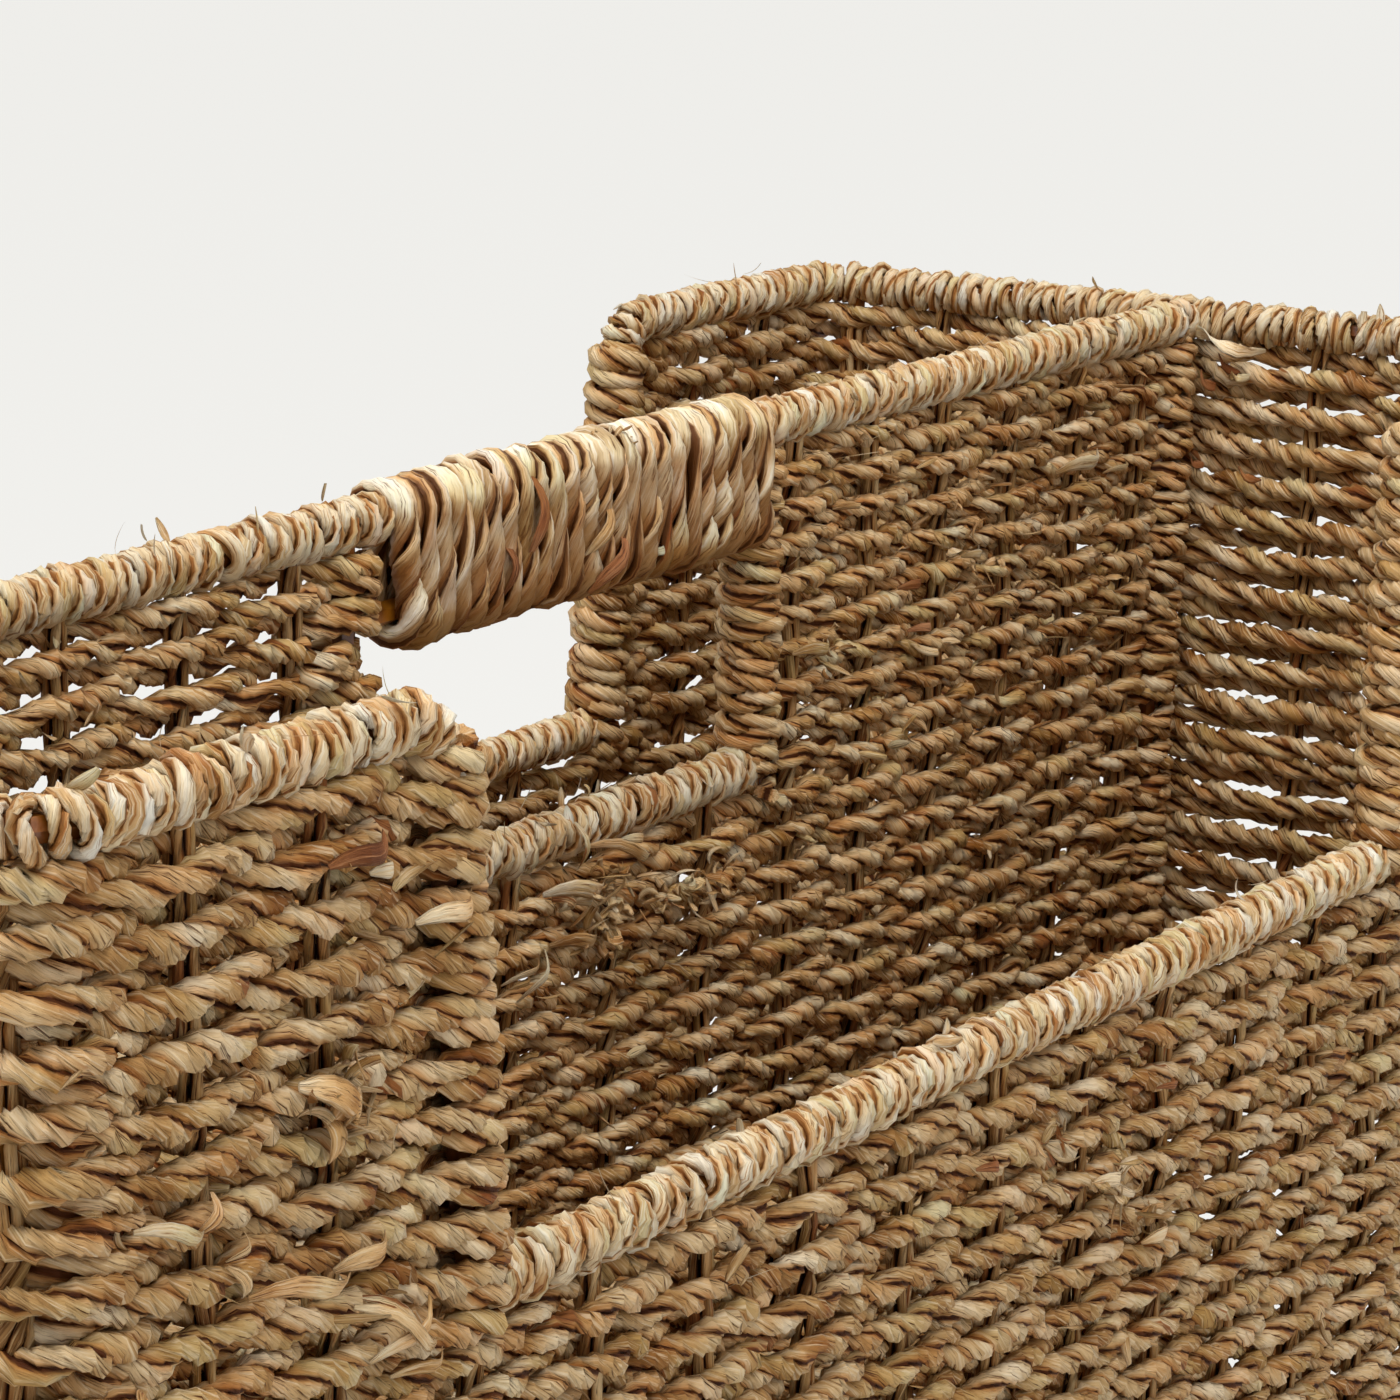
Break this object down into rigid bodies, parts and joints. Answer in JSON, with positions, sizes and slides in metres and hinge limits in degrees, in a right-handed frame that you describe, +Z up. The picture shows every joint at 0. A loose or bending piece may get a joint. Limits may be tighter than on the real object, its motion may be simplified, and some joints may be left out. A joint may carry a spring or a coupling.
{
  "type": "magazine basket",
  "caption": "Rectangular woven seagrass magazine basket on a wire frame, with dipped long walls and a dividing wall that holds a bound hand grip.",
  "frame": {"origin": "on the floor, under the middle of the basket", "axes": "+Z up, +X along the length, +Y from the front wall to the back wall"},
  "size_m": [0.4844, 0.1904, 0.2822],
  "materials": {
    "wall_rope": "matte twisted seagrass rope",
    "divider_rope": "matte twisted seagrass rope",
    "stake_cord": "matte brown twisted cord",
    "binding_blade": "satin straw-coloured split blades",
    "grip_cord": "satin greenish straw cord",
    "wire": "amber lacquered steel wire"
  },
  "bodies": {
    "root": {"back_dip_binding": "binding_blade", "back_left_ear_weave": "wall_rope", "back_right_ear_weave": "wall_rope", "back_weave": "wall_rope", "base_weave": "wall_rope", "base_wire": "wire", "corner_upright_left_back": "wire", "corner_upright_left_front": "wire", "corner_upright_right_back": "wire", "corner_upright_right_front": "wire", "divider_arch_wire": "wire", "divider_left_binding": "binding_blade", "divider_left_weave": "divider_rope", "divider_right_binding": "binding_blade", "divider_right_weave": "divider_rope", "divider_stake_01": "stake_cord", "divider_stake_02": "stake_cord", "divider_stake_03": "stake_cord", "divider_stake_04": "stake_cord", "divider_stake_05": "stake_cord", "divider_stake_06": "stake_cord", "divider_stake_07": "stake_cord", "divider_stake_08": "stake_cord", "divider_weave": "divider_rope", "end_stake_01": "stake_cord", "end_stake_02": "stake_cord", "end_stake_03": "stake_cord", "end_stake_04": "stake_cord", "front_dip_binding": "binding_blade", "front_left_ear_weave": "wall_rope", "front_right_ear_weave": "wall_rope", "front_weave": "wall_rope", "grip_winding": "grip_cord", "grip_wire": "wire", "left_end_binding": "binding_blade", "left_end_weave": "wall_rope", "opening_wire": "wire", "right_end_binding": "binding_blade", "right_end_weave": "wall_rope", "rim_wire": "wire", "sill_binding": "binding_blade", "wall_stake_01": "stake_cord", "wall_stake_02": "stake_cord", "wall_stake_03": "stake_cord", "wall_stake_04": "stake_cord", "wall_stake_05": "stake_cord", "wall_stake_06": "stake_cord", "wall_stake_07": "stake_cord", "wall_stake_08": "stake_cord", "wall_stake_09": "stake_cord", "wall_stake_10": "stake_cord", "wall_stake_11": "stake_cord", "wall_stake_12": "stake_cord", "wall_stake_13": "stake_cord"}
  },
  "joints": []
}
